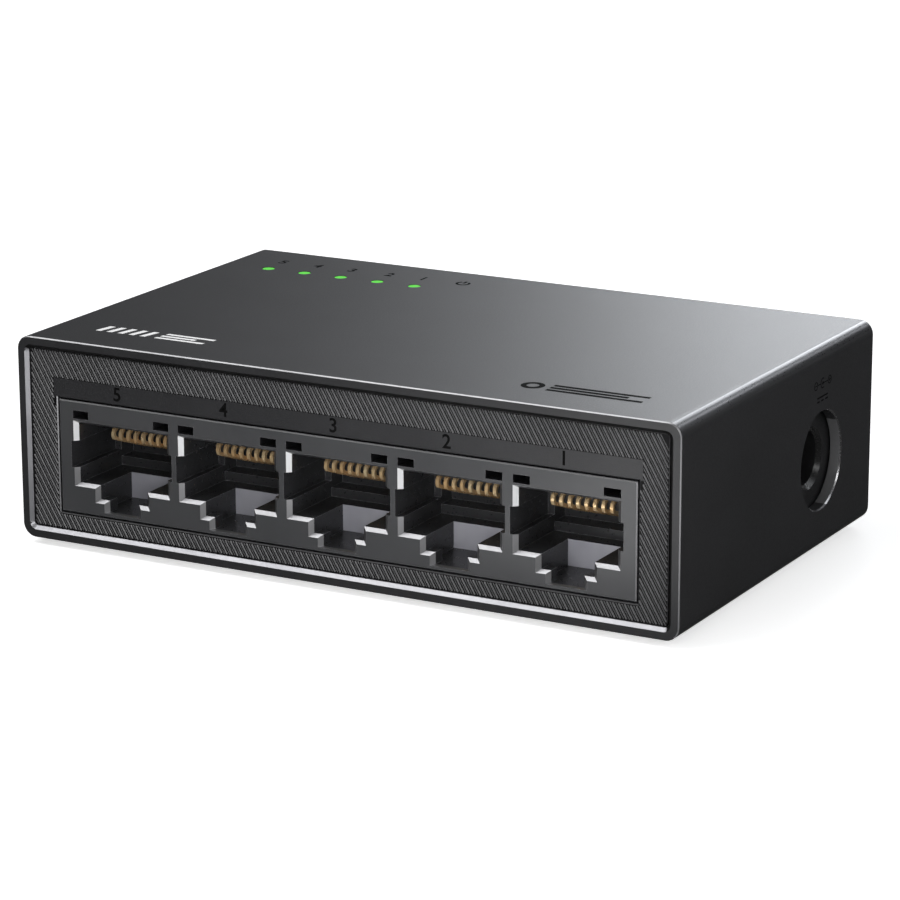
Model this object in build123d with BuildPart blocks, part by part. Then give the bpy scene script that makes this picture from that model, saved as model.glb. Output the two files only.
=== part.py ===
"""A small desktop network switch with five sockets.

Millimetres. +Z is up and the sockets face -Y. The origin is the middle of the base, at the
undersides of the feet. Heights above the board and depths behind the front rim are worked out
from the driving dimensions below.
"""

from build123d import *
import math
import os

os.makedirs("parts", exist_ok=True)

# Case
case_width = 84.0
case_depth = 52.4
case_height = 24.0
case_corner = 1.65
wall = 1.35
inner_corner = 0.5
rim_bevel = 0.4
outer_edge_break = 0.12
foot_standout = 0.8

# Front and rear panels
panel_setback = 0.45
panel_thickness = 1.5
panel_gap = 0.05
panel_side_gap = 0.18
rear_panel_thickness = 1.8

# Sockets
port_count = 5
port_pitch = 14.2
block_width = 73.52
block_low = 3.62
block_high = 16.92
block_gap = 0.2
block_depth = 17.0
cavity_depth = 11.5
latch_depth = 6.8
stop_depth = 9.0

# Socket opening: half-widths, and levels above the case's underside
plug_half = 5.975
groove_half = 6.8
latch_half = 3.2
catch_half = 2.0
socket_top = 14.3
groove_high = 12.18
groove_low = 9.03
stop_level = 8.28
plug_floor = 7.21
latch_floor = 5.53
catch_floor = 4.17

# Bevel round a socket's mouth: how deep it is, and how wide on each kind of edge
mouth_depth = 0.45
mouth_side = 0.5
mouth_step = 0.38
mouth_catch = 0.1
mouth_top = 0.3

# Contact wires
wire_count = 8
wire_pitch = 1.016
wire = 0.4
bend_radius = 0.6
bend_setback = 4.9
bend_height = 12.4
arm_slope = 20.0
arm_length = 6.3

# Circuit board
board_width = 79.6
board_thickness = 1.6
board_top_height = 4.29
board_front = 8.7
board_rear = 50.0

# Power inlet
inlet_back = 37.75
inlet_height = 10.79
inlet_hole = 11.5
jack_recess = 1.55
jack_length = 14.2
jack_width = 9.0
jack_height = 11.0
jack_bore = 6.3
jack_mouth = 7.35
jack_bore_depth = 10.4
pin_diameter = 2.0
pin_collar = 2.4
pin_recess = 2.6
jack_flange = 12.2
flange_thickness = 1.0

# Lights in the top
light_count = 5
light_hole = 1.6
light_pitch = 5.15
light_first = -34.5
light_back = 43.1

# Feet
foot_diameter = 8.0
foot_inset_x = 9.5
foot_inset_y = 9.5
foot_pocket = 0.4

# How far a cutting shape reaches past the face it starts from
overlap = 0.1

# Places worked out from the sizes above
case_low = foot_standout
case_high = case_low + case_height
case_middle = case_low + case_height / 2
front = -case_depth / 2
rear = case_depth / 2
panel_width = case_width - 2 * wall - 2 * panel_side_gap
panel_height = case_height - 2 * wall - 2 * panel_gap
panel_front = front + panel_setback
panel_back = panel_front + panel_thickness
rear_panel_outer = rear - panel_setback
rear_panel_inner = rear_panel_outer - rear_panel_thickness
inner_side = case_width / 2 - wall
floor = case_low + wall
ceiling = case_high - wall
board_top = case_low + board_top_height
board_low = board_top - board_thickness
inlet_y = front + inlet_back
inlet_z = case_low + inlet_height
jack_face = case_width / 2 - jack_recess
block_front = front + panel_setback
port_places = [port_pitch * (index - (port_count - 1) / 2) for index in range(port_count)]
wire_places = [wire_pitch * (index - (wire_count - 1) / 2) for index in range(wire_count)]
bend_y = front + bend_setback
bend_z = case_low + bend_height
light_y = front + light_back
light_places = [light_first + light_pitch * index for index in range(light_count)]


def height(above_case_bottom):
    """The height of a level that is given above the case's underside."""
    return case_low + above_case_bottom


def behind(depth):
    """The Y of a plane that is given behind the case's front rim."""
    return front + depth


def facing_front(y):
    """A plane across the case at y whose sketches extrude towards the front."""
    return Plane.XZ.offset(-y)


def facing_side(x):
    """A plane across the case at x whose sketches extrude towards +X."""
    return Plane.YZ.offset(x)


def brick(x, y, z, mode=Mode.ADD):
    """A box between the given limits, each a pair of low and high."""
    with Locations((x[0], y[0], z[0])):
        Box(x[1] - x[0], y[1] - y[0], z[1] - z[0], align=(Align.MIN, Align.MIN, Align.MIN), mode=mode)


def spread(middle, width):
    """Low and high limits of a width about a middle."""
    return (middle - width / 2, middle + width / 2)


def socket_outline(place, bevelled):
    """Corners of a socket's opening: plug space, finger grooves and stepped latch channel.

    The outline at the block's face is larger by the bevel on every edge but the grooves'.
    """
    share = 1 if bevelled else 0
    plug = plug_half + share * mouth_side
    latch = latch_half + share * mouth_side
    catch = catch_half + share * mouth_side
    top = socket_top + share * mouth_top
    low_plug = plug_floor - share * mouth_step
    low_latch = latch_floor - share * mouth_step
    low_catch = catch_floor - share * mouth_catch
    right = [
        (catch, low_catch),
        (catch, low_latch),
        (latch, low_latch),
        (latch, low_plug),
        (plug, low_plug),
        (plug, groove_low),
        (groove_half, groove_low),
        (groove_half, groove_high),
        (plug, groove_high),
        (plug, top),
    ]
    left = [(-x, z) for x, z in reversed(right)]
    return [(place + x, height(z)) for x, z in right + left]


# ---------------------------------------------------------------- case

snap_width = 6.0
snap_thickness = 0.9
snap_length = 6.4
barb = 0.5
barb_length = 1.6
barb_pocket = 0.6
barb_play = 0.1
side_snap_z = case_middle - 1.0
cross_snap_x = 20.0
screw_post = 4.4
screw_core = 1.7
screw_shank = 1.9
screw_x = inner_side - 2.3
screw_z = height(18.6)
screw_post_length = 5.5
rail_reach = 1.75
rail_root = 0.3
rail_rib = 0.9
rail_gap = 0.05
upper_rail_start = 43.4
post_web = (2.6, 2.4)
post_floor = 0.8
inlet_edge_break = 0.15
pocket_play = 0.15
snap_y = panel_back + snap_length - barb_length / 2

with BuildPart() as housing_sleeve:
    with BuildSketch(facing_front(rear)) as outer_section:
        with Locations((0, case_middle)):
            RectangleRounded(case_width, case_height, case_corner)
    extrude(amount=case_depth)
    chamfer(housing_sleeve.faces().sort_by(Axis.Y)[0].edges(), outer_edge_break)
    chamfer(housing_sleeve.faces().sort_by(Axis.Y)[-1].edges(), outer_edge_break)
    with BuildSketch(facing_front(rear)) as inner_section:
        with Locations((0, case_middle)):
            RectangleRounded(case_width - 2 * wall, case_height - 2 * wall, inner_corner)
    extrude(amount=case_depth, mode=Mode.SUBTRACT)
    inner_rim = [
        edge
        for edge in housing_sleeve.edges().group_by(Axis.Y)[0]
        if abs(edge.center().X) < inner_side + 0.01 and floor - 0.01 < edge.center().Z < ceiling + 0.01
    ]
    chamfer(inner_rim, rim_bevel)
    for side in (-1, 1):
        # The board slides in from the front between a lower rail and a shorter upper one.
        rail_x = sorted((side * (inner_side - rail_reach), side * (inner_side + rail_root)))
        brick(rail_x, (behind(board_front), behind(board_rear)), (floor - rail_root, board_low - rail_gap))
        upper_z = (board_top + rail_gap, board_top + rail_gap + rail_rib)
        brick(rail_x, (behind(upper_rail_start), behind(board_rear)), upper_z)
        # A post for the rear panel's screw, joined to the side wall by a web.
        post_y = rear_panel_inner - 0.02
        with BuildSketch(facing_front(post_y)) as post_section:
            with Locations((side * screw_x, screw_z)):
                Circle(screw_post / 2)
            with Locations((side * (inner_side - 1.0), screw_z)):
                Rectangle(*post_web)
        extrude(amount=screw_post_length)
        with BuildSketch(facing_front(post_y)) as post_core:
            with Locations((side * screw_x, screw_z)):
                Circle(screw_core / 2)
        extrude(amount=screw_post_length - post_floor, mode=Mode.SUBTRACT)
        # Pockets that the front panel's barbs drop into.
        pocket_x = sorted((side * (inner_side - 0.2), side * (inner_side + barb_pocket)))
        pocket_y = spread(snap_y, barb_length + barb_play)
        brick(pocket_x, pocket_y, spread(side_snap_z, snap_width + 0.4), Mode.SUBTRACT)
        cross_x = spread(side * cross_snap_x, snap_width + 0.4)
        brick(cross_x, pocket_y, (ceiling - 0.2, ceiling + barb_pocket), Mode.SUBTRACT)
        brick(cross_x, pocket_y, (floor - barb_pocket, floor + 0.2), Mode.SUBTRACT)
    # Round hole over the power inlet, with a broken edge.
    with BuildSketch(facing_side(inner_side - 0.5)) as inlet_section:
        with Locations((inlet_y, inlet_z)):
            Circle(inlet_hole / 2)
    extrude(amount=wall + 1.0, mode=Mode.SUBTRACT)
    inlet_edge = housing_sleeve.edges().filter_by(GeomType.CIRCLE).group_by(Axis.X)[-1]
    chamfer(inlet_edge, inlet_edge_break)
    # Light windows.
    with BuildSketch(Plane.XY.offset(ceiling - 0.5)) as light_section:
        for place in light_places:
            with Locations((place, light_y)):
                Circle(light_hole / 2)
    extrude(amount=wall + 1.0, mode=Mode.SUBTRACT)
    # Shallow round pockets that the feet are glued into.
    with BuildSketch(Plane.XY.offset(case_low)) as foot_pockets:
        for x in (-1, 1):
            for y in (-1, 1):
                with Locations((x * (case_width / 2 - foot_inset_x), y * (case_depth / 2 - foot_inset_y))):
                    Circle(foot_diameter / 2 + pocket_play)
    extrude(amount=foot_pocket, mode=Mode.SUBTRACT)
housing_sleeve.part.label = "housing_sleeve"
export_step(housing_sleeve.part, "parts/housing_sleeve.step")

# ---------------------------------------------------------------- front panel

window_x = spread(0, block_width + 2 * block_gap)
window_z = (height(block_low - block_gap), height(block_high + block_gap))
edge_break = 0.12

with BuildPart() as front_bezel:
    with BuildSketch(facing_front(panel_back)) as bezel_section:
        with Locations((0, case_middle)):
            RectangleRounded(panel_width, panel_height, inner_corner)
        with Locations(((window_x[0] + window_x[1]) / 2, (window_z[0] + window_z[1]) / 2)):
            Rectangle(window_x[1] - window_x[0], window_z[1] - window_z[0], mode=Mode.SUBTRACT)
    extrude(amount=panel_thickness)
    for side in (-1, 1):
        # Snap arms with barbs, two at the ends and two each along the top and the bottom.
        arm_y = (panel_back - 0.3, panel_back + snap_length)
        barb_y = spread(snap_y, barb_length)
        edge_x = side * panel_width / 2
        side_x = sorted((edge_x, edge_x - side * snap_thickness))
        brick(side_x, arm_y, spread(side_snap_z, snap_width))
        barb_x = sorted((edge_x + side * barb, edge_x - side * 0.3))
        brick(barb_x, barb_y, spread(side_snap_z, snap_width))
        cross_x = spread(side * cross_snap_x, snap_width)
        top = case_middle + panel_height / 2
        low = case_middle - panel_height / 2
        brick(cross_x, arm_y, (top - snap_thickness, top))
        brick(cross_x, barb_y, (top - 0.3, top + barb))
        brick(cross_x, arm_y, (low, low + snap_thickness))
        brick(cross_x, barb_y, (low - barb, low + 0.3))
    # Broken edges round the window.
    window_edges = [
        edge
        for edge in front_bezel.edges().group_by(Axis.Y)[0]
        if abs(edge.center().X) < window_x[1] + 0.01 and edge.center().Z < window_z[1] + 0.01
        and edge.center().Z > window_z[0] - 0.01
    ]
    chamfer(window_edges, edge_break)
front_bezel.part.label = "front_bezel"
export_step(front_bezel.part, "parts/front_bezel.step")

# ---------------------------------------------------------------- rear panel

slot_count = 14
slot_pitch = 4.0
slot_width = 1.8
slot_height = 9.0
screw_head = 3.7
screw_head_depth = 1.0
screw_length = 6.0

with BuildPart() as rear_panel:
    with BuildSketch(facing_front(rear_panel_outer)) as rear_section:
        with Locations((0, case_middle)):
            RectangleRounded(panel_width, panel_height, inner_corner)
        with Locations((0, case_middle)):
            with GridLocations(slot_pitch, 0, slot_count, 1):
                SlotOverall(slot_height, slot_width, rotation=90, mode=Mode.SUBTRACT)
    extrude(amount=rear_panel_thickness)
    for side in (-1, 1):
        with BuildSketch(facing_front(rear_panel_outer)) as screw_hole:
            with Locations((side * screw_x, screw_z)):
                Circle(screw_shank / 2 + 0.15)
        extrude(amount=rear_panel_thickness, mode=Mode.SUBTRACT)
        with Locations(Location((side * screw_x, rear_panel_outer - 0.5, screw_z), (90, 0, 0))):
            Cone(screw_head / 2 + 0.1, screw_shank / 2 + 0.1, 1.0, mode=Mode.SUBTRACT)
        # A rib that the board's rear edge bears on.
        rib_y = (behind(board_rear) + 0.05, rear_panel_inner + 0.3)
        brick(spread(side * 22.0, 5.0), rib_y, (board_low, board_top))
rear_panel.part.label = "rear_panel"
export_step(rear_panel.part, "parts/rear_panel.step")

with BuildPart() as rear_panel_screws:
    for side in (-1, 1):
        head_y = rear_panel_outer - screw_head_depth / 2
        with Locations(Location((side * screw_x, head_y, screw_z), (90, 0, 0))):
            Cone(screw_head / 2, screw_shank / 2, screw_head_depth)
        with Locations(Location((side * screw_x, rear_panel_outer - screw_length / 2, screw_z), (90, 0, 0))):
            Cylinder(screw_shank / 2, screw_length)
        # Cross recess.
        recess_y = (rear_panel_outer - 0.6, rear_panel_outer + 0.1)
        brick(spread(side * screw_x, 2.0), recess_y, spread(screw_z, 0.4), Mode.SUBTRACT)
        brick(spread(side * screw_x, 0.4), recess_y, spread(screw_z, 2.0), Mode.SUBTRACT)
rear_panel_screws.part.label = "rear_panel_screws"
export_step(rear_panel_screws.part, "parts/rear_panel_screws.step")

# ---------------------------------------------------------------- socket block

shelf_low = height(13.25)
shelf_high = height(14.25)
shelf_half = 4.75
slot_low = 12.6
block_rear = block_front + block_depth
cavity_rear = block_front + cavity_depth
rear_wall = 1.3
pier_half = 5.2
window_outer = 6.47
window_inner = 4.4
window_low = 14.86
window_high = 15.83
window_depth = 7.0
lip_depth = 1.9
tail_rows = (behind(14.9), behind(16.4))
pocket_width = 1.0
pocket_floor = 13.0
pocket_front = 3.0
pocket_back = 2.0

with BuildPart() as rj45_block:
    # The front overhangs the board's front edge; the rest stands on the board.
    brick(spread(0, block_width), (block_front, block_rear), (board_top, height(block_high)))
    brick(spread(0, block_width), (block_front, behind(board_front) - 0.2), (height(block_low), board_top))
    chamfer(rj45_block.faces().sort_by(Axis.Y)[0].edges(), edge_break)
    for place in port_places:
        # Mouth bevel, then plug space.
        with BuildSketch(facing_front(block_front)) as mouth:
            with BuildLine():
                Polyline(*socket_outline(place, True), close=True)
            make_face()
        with BuildSketch(facing_front(block_front + mouth_depth)) as throat:
            with BuildLine():
                Polyline(*socket_outline(place, False), close=True)
            make_face()
        loft([mouth.sketch.face(), throat.sketch.face()], ruled=True, mode=Mode.SUBTRACT)
        extrude(throat.sketch, amount=-(latch_depth - mouth_depth), mode=Mode.SUBTRACT)
        # Past the latch channel's end the plug space and its grooves go on to the step that stops
        # the plug, and above that step to the rear wall.
        plug_x = spread(place, 2 * plug_half)
        groove_x = spread(place, 2 * groove_half)
        run_y = (block_front + latch_depth - overlap, block_front + stop_depth)
        end_y = (block_front + stop_depth - overlap, cavity_rear)
        brick(plug_x, run_y, (height(plug_floor), height(socket_top)), Mode.SUBTRACT)
        brick(groove_x, run_y, (height(groove_low), height(groove_high)), Mode.SUBTRACT)
        brick(plug_x, end_y, (height(stop_level), height(socket_top)), Mode.SUBTRACT)
        # Behind the lip the catch channel opens out, so that the latch hooks behind it.
        hook_y = (block_front + lip_depth, block_front + latch_depth)
        brick(spread(place, 2 * latch_half), hook_y, (height(catch_floor), height(latch_floor) + overlap), Mode.SUBTRACT)
        # Slot in the rear wall for the wires, and the open bay where they turn down.
        comb_y = (cavity_rear - overlap, block_rear + overlap)
        brick(spread(place, 2 * shelf_half), comb_y, (height(slot_low), height(socket_top)), Mode.SUBTRACT)
        bay_y = (cavity_rear + rear_wall, block_rear + overlap)
        brick(spread(place, 2 * pier_half), bay_y, (board_top - overlap, height(socket_top)), Mode.SUBTRACT)
        for side in (-1, 1):
            window_span = sorted((place + side * window_inner, place + side * window_outer))
            window_y = (block_front - overlap, block_front + window_depth)
            brick(window_span, window_y, (height(window_low), height(window_high)), Mode.SUBTRACT)
    # Lightening pockets in the top, between the sockets.
    for index in range(port_count - 1):
        middle = (port_places[index] + port_places[index + 1]) / 2
        pocket_y = (block_front + pocket_front, block_rear - pocket_back)
        pocket_z = (height(pocket_floor), height(block_high) + overlap)
        brick(spread(middle, pocket_width), pocket_y, pocket_z, Mode.SUBTRACT)
rj45_block.part.label = "rj45_block"
export_step(rj45_block.part, "parts/rj45_block.step")

# ---------------------------------------------------------------- wire combs

comb_rib = 0.42
comb_play = 0.1
comb_lead = 0.1
rib_tail = 0.9
leg_gap = 0.45

with BuildPart() as wire_combs:
    for place in port_places:
        # Shelf over the wires, with ribs that keep them apart, and a leg that stands on the board.
        shelf_x = spread(place, 2 * shelf_half - comb_play)
        comb_rear = block_rear - 0.2
        brick(shelf_x, (bend_y + 0.15, comb_rear), (shelf_low, shelf_high))
        for index in range(wire_count + 1):
            rib_x = place + wire_pitch * (index - wire_count / 2)
            rib_y = (bend_y - comb_lead, cavity_rear + rib_tail)
            brick(spread(rib_x, comb_rib), rib_y, (height(slot_low) + 0.02, shelf_low + overlap))
        leg_y = (tail_rows[1] + leg_gap, comb_rear)
        brick(shelf_x, leg_y, (board_top + 0.02, shelf_low + overlap))
wire_combs.part.label = "wire_combs"
export_step(wire_combs.part, "parts/wire_combs.step")

# ---------------------------------------------------------------- contact wires

run_z = bend_z + bend_radius
tail_low = board_low - 1.1

with BuildPart() as contact_wires_fixed:
    for place in port_places:
        for index, offset_x in enumerate(wire_places):
            # Each wire runs back under the shelf, turns down and goes through the board.
            x = spread(place + offset_x, wire)
            row = tail_rows[index % 2]
            brick(x, (bend_y + 0.04, row + wire / 2), spread(run_z, wire))
            brick(x, spread(row, wire), (tail_low, run_z))
contact_wires_fixed.part.label = "contact_wires_fixed"
export_step(contact_wires_fixed.part, "parts/contact_wires_fixed.step")

slope = math.radians(arm_slope)
arm_run = (math.cos(slope) * arm_length, -math.sin(slope) * arm_length)

for number, place in enumerate(reversed(port_places), start=1):
    with BuildPart() as contact_group:
        for offset_x in wire_places:
            # A half turn at the front and a straight arm that slopes down and back into the plug space.
            with BuildSketch(facing_side(place + offset_x - wire / 2)):
                with BuildLine():
                    outer = CenterArc((bend_y, bend_z), bend_radius + wire / 2, 90, 180 - arm_slope)
                    inner = CenterArc((bend_y, bend_z), bend_radius - wire / 2, 90, 180 - arm_slope)
                    outer_end = outer @ 1 + Vector(*arm_run)
                    inner_end = inner @ 1 + Vector(*arm_run)
                    Line(outer @ 0, inner @ 0)
                    Polyline(outer @ 1, outer_end, inner_end, inner @ 1)
                make_face()
            extrude(amount=wire)
    contact_group.part.label = f"contacts_port_{number}"
    export_step(contact_group.part, f"parts/contacts_port_{number}.step")

# ---------------------------------------------------------------- circuit board

tail_hole = 0.9
board_corner = 1.0
terminal_slot = (3.2, 1.2)
jack_rear = jack_face - jack_length
centre_tail_x = jack_rear + 1.0
sleeve_tail_x = jack_rear + 4.9
side_tail_x = jack_rear + 8.0
side_tail_y = inlet_y - jack_width / 2 + 0.35

with BuildPart() as main_pcb:
    with BuildSketch(Plane.XY.offset(board_low)) as board_outline:
        with Locations((0, (behind(board_front) + behind(board_rear)) / 2)):
            RectangleRounded(board_width, board_rear - board_front, board_corner)
        for place in port_places:
            for index, offset_x in enumerate(wire_places):
                with Locations((place + offset_x, tail_rows[index % 2])):
                    Circle(tail_hole / 2, mode=Mode.SUBTRACT)
        for x in (centre_tail_x, sleeve_tail_x):
            with Locations((x, inlet_y)):
                SlotOverall(*terminal_slot, rotation=90, mode=Mode.SUBTRACT)
        with Locations((side_tail_x, side_tail_y)):
            SlotOverall(*terminal_slot, mode=Mode.SUBTRACT)
    extrude(amount=board_thickness)
main_pcb.part.label = "main_pcb"
export_step(main_pcb.part, "parts/main_pcb.step")

# ---------------------------------------------------------------- parts on the board

chip_size = 14.0
chip_thickness = 1.2
chip_place = (0.0, behind(35.0))
dimple_inset = 1.8
dimple_diameter = 1.2
dimple_depth = 0.1
transformer_row = behind(22.6)
transformer_size = (12.7, 7.2, 4.6)
lead_pitch = 1.27
leads_per_side = 8
lead_width = 0.4
lead_thickness = 0.2
lead_foot = 1.1
lead_rise = 1.6
crystal_size = (4.7, 11.4, 3.5)
crystal_place = (-13.5, behind(33.6))
regulator_size = (4.9, 3.9)
regulator_place = (22.3, behind(30.2))
inductor_size = 6.0
inductor_place = (14.6, behind(31.6))
can_diameter = 6.3
can_height = 7.7
can_base = 6.6
can_base_height = 0.9
can_places = ((18.4, behind(40.6)), (11.8, behind(46.2)))
small_capacitor = (0.8, 1.6)
small_thickness = 0.8


def on_board(place, size, thickness):
    """A flat-bottomed part standing on the board, centred on its place."""
    with Locations((place[0], place[1], board_top)):
        Box(size[0], size[1], thickness, align=(Align.CENTER, Align.CENTER, Align.MIN))


with BuildPart() as switch_chip:
    on_board(chip_place, (chip_size, chip_size), chip_thickness)
    chamfer(switch_chip.faces().sort_by(Axis.Z)[-1].edges(), 0.2)
    # Pin-one dimple.
    dimple_offset = chip_size / 2 - dimple_inset
    with BuildSketch(Plane.XY.offset(board_top + chip_thickness)) as dimple:
        with Locations((chip_place[0] - dimple_offset, chip_place[1] - dimple_offset)):
            Circle(dimple_diameter / 2)
    extrude(amount=-dimple_depth, mode=Mode.SUBTRACT)
switch_chip.part.label = "switch_chip"
export_step(switch_chip.part, "parts/switch_chip.step")

with BuildPart() as line_transformers:
    for place in port_places:
        on_board((place, transformer_row), transformer_size, transformer_size[2])
    top_faces = line_transformers.faces().group_by(Axis.Z)[-1]
    chamfer(top_faces.edges(), 0.4)
line_transformers.part.label = "line_transformers"
export_step(line_transformers.part, "parts/line_transformers.step")

with BuildPart() as transformer_leads:
    for place in port_places:
        for side in (-1, 1):
            for index in range(leads_per_side):
                # A gull-wing lead: foot on the board and a riser against the body.
                x = spread(place + lead_pitch * (index - (leads_per_side - 1) / 2), lead_width)
                body_y = transformer_row + side * (transformer_size[1] / 2 + 0.02)
                foot_y = sorted((body_y, body_y + side * lead_foot))
                brick(x, foot_y, (board_top, board_top + lead_thickness))
                riser_y = sorted((body_y, body_y + side * lead_thickness))
                brick(x, riser_y, (board_top, board_top + lead_rise))
transformer_leads.part.label = "transformer_leads"
export_step(transformer_leads.part, "parts/transformer_leads.step")

with BuildPart() as crystal:
    with BuildSketch(Plane.XY.offset(board_top)) as crystal_outline:
        with Locations(crystal_place):
            SlotOverall(crystal_size[1], crystal_size[0], rotation=90)
    extrude(amount=crystal_size[2])
    fillet(crystal.faces().sort_by(Axis.Z)[-1].edges(), 0.5)
crystal.part.label = "crystal"
export_step(crystal.part, "parts/crystal.step")

with BuildPart() as regulator_chip:
    on_board(regulator_place, regulator_size, 1.5)
    chamfer(regulator_chip.faces().sort_by(Axis.Z)[-1].edges(), 0.25)
regulator_chip.part.label = "regulator_chip"
export_step(regulator_chip.part, "parts/regulator_chip.step")

with BuildPart() as buck_inductor:
    on_board(inductor_place, (inductor_size, inductor_size), 2.8)
    fillet(buck_inductor.edges().filter_by(Axis.Z), 1.0)
buck_inductor.part.label = "buck_inductor"
export_step(buck_inductor.part, "parts/buck_inductor.step")

with BuildPart() as smoothing_capacitors:
    for place in can_places:
        with BuildSketch(Plane.XY.offset(board_top)) as base_section:
            with Locations(place):
                RectangleRounded(can_base, can_base, 0.8)
        extrude(amount=can_base_height)
        with BuildSketch(Plane.XY.offset(board_top + can_base_height)) as can_section:
            with Locations(place):
                Circle(can_diameter / 2)
        extrude(amount=can_height - can_base_height)
    fillet(smoothing_capacitors.edges().group_by(Axis.Z)[-1], 0.5)
smoothing_capacitors.part.label = "smoothing_capacitors"
export_step(smoothing_capacitors.part, "parts/smoothing_capacitors.step")

with BuildPart() as ceramic_capacitors:
    for index in range(6):
        on_board((-7.5 + 3.0 * index, behind(44.2)), small_capacitor, small_thickness)
    for index in range(4):
        on_board((-7.5 + 5.0 * index, behind(47.4)), small_capacitor[::-1], small_thickness)
    for back in (31.0, 35.0):
        on_board((9.5, behind(back)), small_capacitor, small_thickness)
ceramic_capacitors.part.label = "ceramic_capacitors"
export_step(ceramic_capacitors.part, "parts/ceramic_capacitors.step")

# ---------------------------------------------------------------- lights

led_size = (1.6, 0.9)
led_height = 0.8
pipe_gap = 0.6
pipe_play = 0.05
bar_thickness = 1.6
bar_depth = 2.4
bar_end = 1.3

with BuildPart() as led_chips:
    for place in light_places:
        on_board((place, light_y), led_size, led_height)
led_chips.part.label = "led_chips"
export_step(led_chips.part, "parts/led_chips.step")

with BuildPart() as light_pipes:
    # Five clear rods joined by a bar that lies against the inside of the top.
    pipe_low = board_top + led_height + pipe_gap
    with BuildSketch(Plane.XY.offset(pipe_low)) as pipe_section:
        for place in light_places:
            with Locations((place, light_y)):
                Circle(light_hole / 2 - pipe_play)
    extrude(amount=case_high - pipe_play - pipe_low)
    bar_x = (light_places[0] - bar_end, light_places[-1] + bar_end)
    brick(bar_x, spread(light_y, bar_depth), (ceiling - 0.02 - bar_thickness, ceiling - 0.02))
light_pipes.part.label = "light_pipes"
export_step(light_pipes.part, "parts/light_pipes.step")

# ---------------------------------------------------------------- power inlet

spring_width = 2.5
spring_thickness = 0.3
spring_slot = (jack_rear + 4.4, jack_face - 1.4)
bore_low = inlet_z - jack_bore / 2
spring_root = (jack_rear + 5.3, board_top + 2.2)
spring_peak = (jack_face - 4.2, bore_low + 0.75)
spring_tip = (jack_face - 2.2, bore_low - 0.25)

with BuildPart() as dc_jack_body:
    brick((jack_rear, jack_face), spread(inlet_y, jack_width), (board_top, board_top + jack_height))
    upper_edges = dc_jack_body.edges().filter_by(Axis.X).group_by(Axis.Z)[-1]
    fillet(upper_edges, 1.2)
    # Round flange behind the hole in the case.
    with BuildSketch(facing_side(jack_face)) as flange_section:
        with Locations((inlet_y, inlet_z)):
            Circle(jack_flange / 2)
    extrude(amount=-flange_thickness)
    with BuildSketch(facing_side(jack_face)) as bore_section:
        with Locations((inlet_y, inlet_z)):
            Circle(jack_bore / 2)
    extrude(amount=-jack_bore_depth, mode=Mode.SUBTRACT)
    face_rims = dc_jack_body.edges().filter_by(GeomType.CIRCLE).group_by(Axis.X)[-1]
    mouth_edge = face_rims.filter_by(lambda edge: edge.radius < jack_mouth / 2)
    chamfer(mouth_edge, (jack_mouth - jack_bore) / 2)
    # Hole for the centre pin's collar through the rear wall, and the bay for its tail.
    with BuildSketch(facing_side(jack_rear - 0.1)) as pin_hole:
        with Locations((inlet_y, inlet_z)):
            Circle(pin_collar / 2 + 0.02)
    extrude(amount=jack_length - jack_bore_depth + 1.0, mode=Mode.SUBTRACT)
    brick(
        (jack_rear - 0.1, jack_rear + 1.7),
        spread(inlet_y, 3.4),
        (board_top - 0.1, inlet_z + 1.8),
        Mode.SUBTRACT,
    )
    # Slot under the bore for the spring contact.
    brick(spring_slot, spread(inlet_y, 2.9), (board_top - 0.1, inlet_z), Mode.SUBTRACT)
    # Slot in the side for the switched terminal.
    brick(
        spread(side_tail_x, 2.9),
        (inlet_y - jack_width / 2 - 0.1, side_tail_y + 0.22),
        (board_top - 0.1, board_top + 5.0),
        Mode.SUBTRACT,
    )
dc_jack_body.part.label = "dc_jack_body"
export_step(dc_jack_body.part, "parts/dc_jack_body.step")

with BuildPart() as dc_jack_pin:
    # Round pin with a domed tip, joined to a flat tail that goes through the board.
    pin_tip = case_width / 2 - pin_recess
    pin_root = centre_tail_x - 0.2
    bore_floor = jack_face - jack_bore_depth
    with BuildSketch(facing_side(pin_root)) as collar_section:
        with Locations((inlet_y, inlet_z)):
            Circle(pin_collar / 2)
    extrude(amount=bore_floor - pin_root)
    with BuildSketch(facing_side(bore_floor)) as pin_section:
        with Locations((inlet_y, inlet_z)):
            Circle(pin_diameter / 2)
    extrude(amount=pin_tip - bore_floor)
    fillet(dc_jack_pin.faces().sort_by(Axis.X)[-1].edges(), 0.7)
    brick(spread(centre_tail_x, 0.5), spread(inlet_y, 2.4), (tail_low, inlet_z + 1.2))
dc_jack_pin.part.label = "dc_jack_pin"
export_step(dc_jack_pin.part, "parts/dc_jack_pin.step")

with BuildPart() as dc_jack_terminals:
    brick(spread(sleeve_tail_x, 0.4), spread(inlet_y, 2.4), (tail_low, spring_root[1] + 0.3))
    brick(spread(side_tail_x, 2.4), spread(side_tail_y, 0.3), (tail_low, board_top + 4.6))
dc_jack_terminals.part.label = "dc_jack_terminals"
export_step(dc_jack_terminals.part, "parts/dc_jack_terminals.step")

with BuildPart() as dc_jack_spring:
    # Bent leaf whose hump reaches into the bore.
    with BuildSketch(Plane.XZ.offset(-(inlet_y + spring_width / 2))) as leaf_side:
        with BuildLine():
            Polyline(
                spring_root,
                spring_peak,
                spring_tip,
                (spring_tip[0] - 0.1, spring_tip[1] - spring_thickness),
                (spring_peak[0] - 0.05, spring_peak[1] - spring_thickness * 1.1),
                (spring_root[0], spring_root[1] - spring_thickness),
                close=True,
            )
        make_face()
    extrude(amount=spring_width)
dc_jack_spring.part.label = "dc_jack_spring"
export_step(dc_jack_spring.part, "parts/dc_jack_spring.step")

# ---------------------------------------------------------------- feet

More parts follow.
